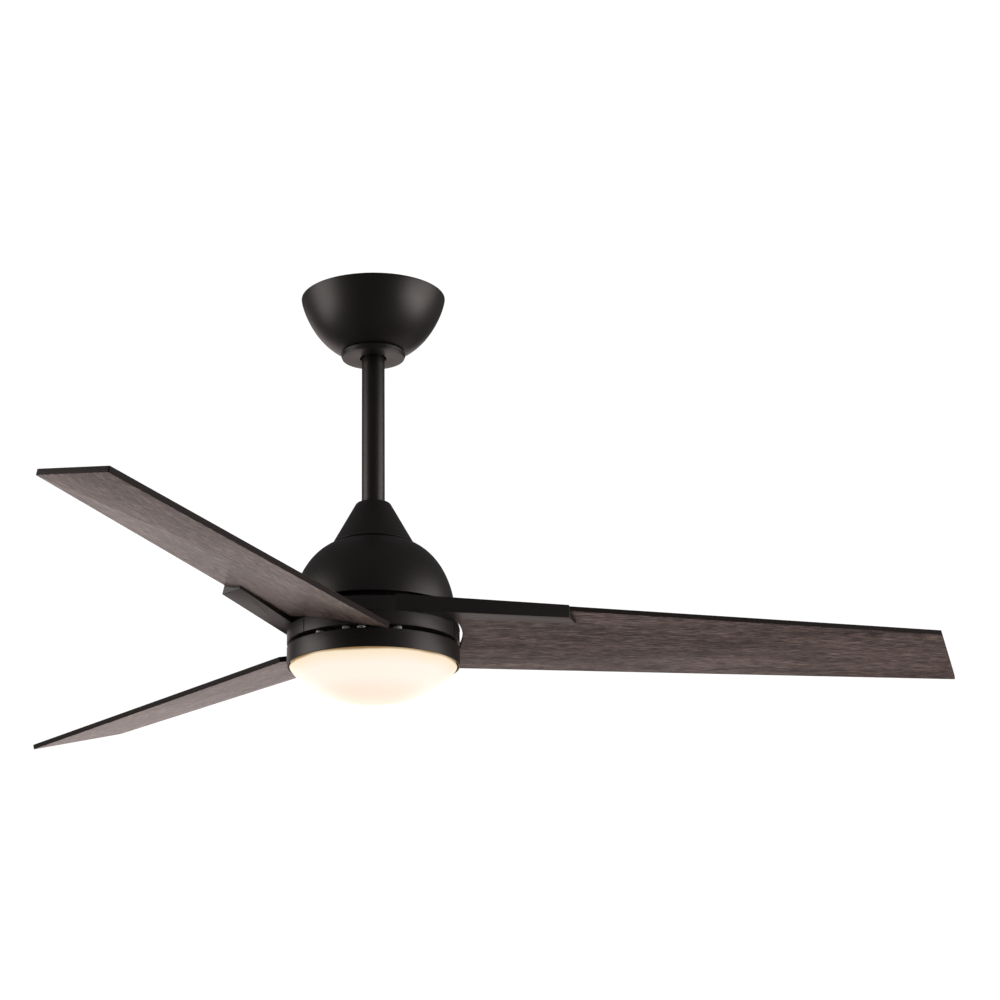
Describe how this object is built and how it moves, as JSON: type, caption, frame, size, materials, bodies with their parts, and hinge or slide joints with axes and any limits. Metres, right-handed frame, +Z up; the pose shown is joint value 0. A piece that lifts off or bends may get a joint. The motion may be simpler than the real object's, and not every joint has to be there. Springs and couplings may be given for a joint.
{
  "type": "ceiling fan with light",
  "caption": "Ceiling fan on a short downrod: black bowl canopy, domed motor, dark wood blades on edge-gripping arms, shallow frosted drum light.",
  "frame": {"origin": "middle of the hanger bracket's top face, where it meets the ceiling", "axes": "+Z up along the downrod and the motor shaft; the first blade points 5.3 degrees from +X towards +Y"},
  "size_m": [1.0839, 1.151, 0.4611],
  "materials": {
    "black_metal": "matte black powder coat, faintly warm",
    "steel": "zinc plated",
    "cast_aluminium": "as cast",
    "copper_wire": "enamelled copper wire",
    "magnet": "ferrite",
    "black_nylon": "moulded",
    "white_board": "white",
    "dark_walnut": "satin dark walnut grain",
    "frosted_glass": "frosted opal glass, lit from inside"
  },
  "bodies": {
    "ceiling": {"hanger_bracket": "steel", "canopy": "black_metal", "canopy_cover": "black_metal", "canopy_screw_1": "steel", "canopy_screw_2": "steel", "remote_receiver": "black_nylon"},
    "hanging": {"ball_pin": "steel", "ball_set_screw": "steel", "bearing_lower_inner": "steel", "bearing_upper_inner": "steel", "coupling_cover": "black_metal", "dome_screw_1": "steel", "dome_screw_2": "steel", "dome_screw_3": "steel", "downrod": "black_metal", "hanger_ball": "black_nylon", "lead_harness": "black_nylon", "led_board": "white_board", "led_driver": "white_board", "led_plate": "cast_aluminium", "led_plate_screw_1": "steel", "led_plate_screw_2": "steel", "led_plate_screw_3": "steel", "light_pan": "black_metal", "motor_dome": "black_metal", "motor_shaft": "steel", "shaft_nut": "steel", "stator_core": "steel", "stator_windings": "copper_wire", "yoke": "steel", "yoke_clip": "steel", "yoke_pin": "steel", "yoke_set_screw": "steel"},
    "rotor": {"bearing_lower_outer": "steel", "bearing_upper_outer": "steel", "blade_1": "dark_walnut", "blade_2": "dark_walnut", "blade_3": "dark_walnut", "blade_holder_1": "black_metal", "blade_holder_2": "black_metal", "blade_holder_3": "black_metal", "blade_screw_1_1": "black_metal", "blade_screw_1_2": "black_metal", "blade_screw_1_3": "black_metal", "blade_screw_2_1": "black_metal", "blade_screw_2_2": "black_metal", "blade_screw_2_3": "black_metal", "blade_screw_3_1": "black_metal", "blade_screw_3_2": "black_metal", "blade_screw_3_3": "black_metal", "holder_screw_1_1": "steel", "holder_screw_1_2": "steel", "holder_screw_2_1": "steel", "holder_screw_2_2": "steel", "holder_screw_3_1": "steel", "holder_screw_3_2": "steel", "magnet_ring": "magnet", "rotor_base": "black_metal", "rotor_cover": "black_metal"},
    "shade": {"glass_shade": "frosted_glass"}
  },
  "joints": [
    {"name": "hanger_tilt", "type": "hinge", "parent": "ceiling", "child": "hanging", "pos_m": [0, 0, -0.045], "axis": [0, 1, 0], "range_deg": [-2.5, 2.5]},
    {"name": "rotor_spin", "type": "hinge", "parent": "hanging", "child": "rotor", "pos_m": [0, 0, -0.3939], "axis": [0, 0, 1], "continuous": true},
    {"name": "shade_twist", "type": "hinge", "parent": "hanging", "child": "shade", "pos_m": [0, 0, -0.4239], "axis": [0, 0, 1], "range_deg": [0, 24]}
  ]
}
